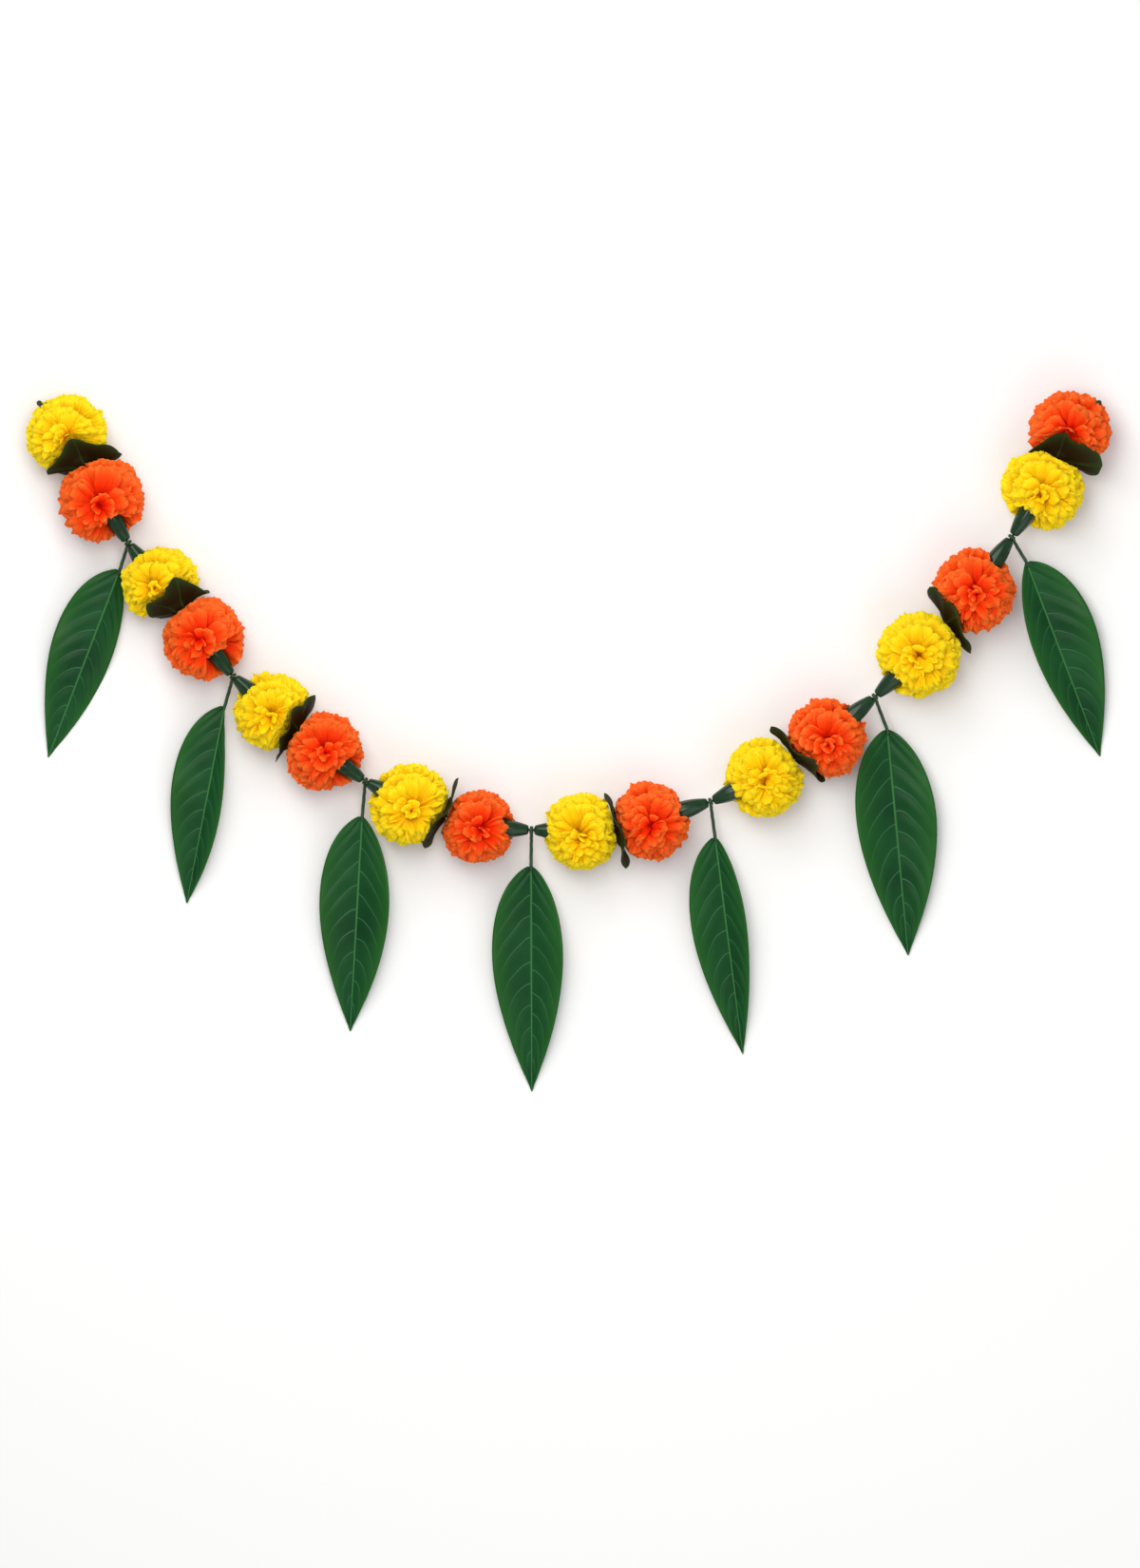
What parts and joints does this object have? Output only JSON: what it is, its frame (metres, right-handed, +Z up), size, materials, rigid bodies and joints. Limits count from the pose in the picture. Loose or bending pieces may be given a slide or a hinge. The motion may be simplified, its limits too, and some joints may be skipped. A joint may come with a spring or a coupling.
{
  "type": "artificial marigold garland",
  "caption": "Bow-shaped garland of yellow and orange pompon marigolds in pairs on one cord, with a long green leaf hanging at each knot.",
  "frame": {"origin": "on the surface that the garland lies on, under the middle of its box", "axes": "+X along the garland from its left end to its right one, +Y from the leaf tips towards the two ends, +Z up from the surface, towards the side that the picture shows"},
  "size_m": [0.7747, 0.502, 0.0602],
  "materials": {
    "yellow_petals": "matt crinkled sheet, cut and crimped",
    "orange_petals": "matt crinkled sheet, cut and crimped",
    "skirt_leaf": "satin coated cloth, dark brownish green",
    "calyx_plastic": "glossy moulded plastic with faint lengthwise facets",
    "mango_leaf": "satin coated cloth with a raised pale midrib and side veins",
    "cord": "twisted dark green thread"
  },
  "bodies": {
    "root": {"bloom_yellow_1": "yellow_petals", "bloom_orange_1": "orange_petals", "bloom_yellow_2": "yellow_petals", "bloom_orange_2": "orange_petals", "bloom_yellow_3": "yellow_petals", "bloom_orange_3": "orange_petals", "bloom_yellow_4": "yellow_petals", "bloom_orange_4": "orange_petals", "bloom_yellow_5": "yellow_petals", "bloom_orange_5": "orange_petals", "bloom_yellow_6": "yellow_petals", "bloom_orange_6": "orange_petals", "bloom_yellow_7": "yellow_petals", "bloom_orange_7": "orange_petals", "bloom_yellow_8": "yellow_petals", "bloom_orange_8": "orange_petals", "leaf_skirt_1": "skirt_leaf", "leaf_skirt_2": "skirt_leaf", "leaf_skirt_3": "skirt_leaf", "leaf_skirt_4": "skirt_leaf", "leaf_skirt_5": "skirt_leaf", "leaf_skirt_6": "skirt_leaf", "leaf_skirt_7": "skirt_leaf", "leaf_skirt_8": "skirt_leaf", "calyx_left_1": "calyx_plastic", "calyx_right_1": "calyx_plastic", "calyx_left_2": "calyx_plastic", "calyx_right_2": "calyx_plastic", "calyx_left_3": "calyx_plastic", "calyx_right_3": "calyx_plastic", "calyx_left_4": "calyx_plastic", "calyx_right_4": "calyx_plastic", "calyx_left_5": "calyx_plastic", "calyx_right_5": "calyx_plastic", "calyx_left_6": "calyx_plastic", "calyx_right_6": "calyx_plastic", "calyx_left_7": "calyx_plastic", "calyx_right_7": "calyx_plastic", "leaf_1": "mango_leaf", "leaf_2": "mango_leaf", "leaf_3": "mango_leaf", "leaf_4": "mango_leaf", "leaf_5": "mango_leaf", "leaf_6": "mango_leaf", "leaf_7": "mango_leaf", "cord": "cord"}
  },
  "joints": []
}
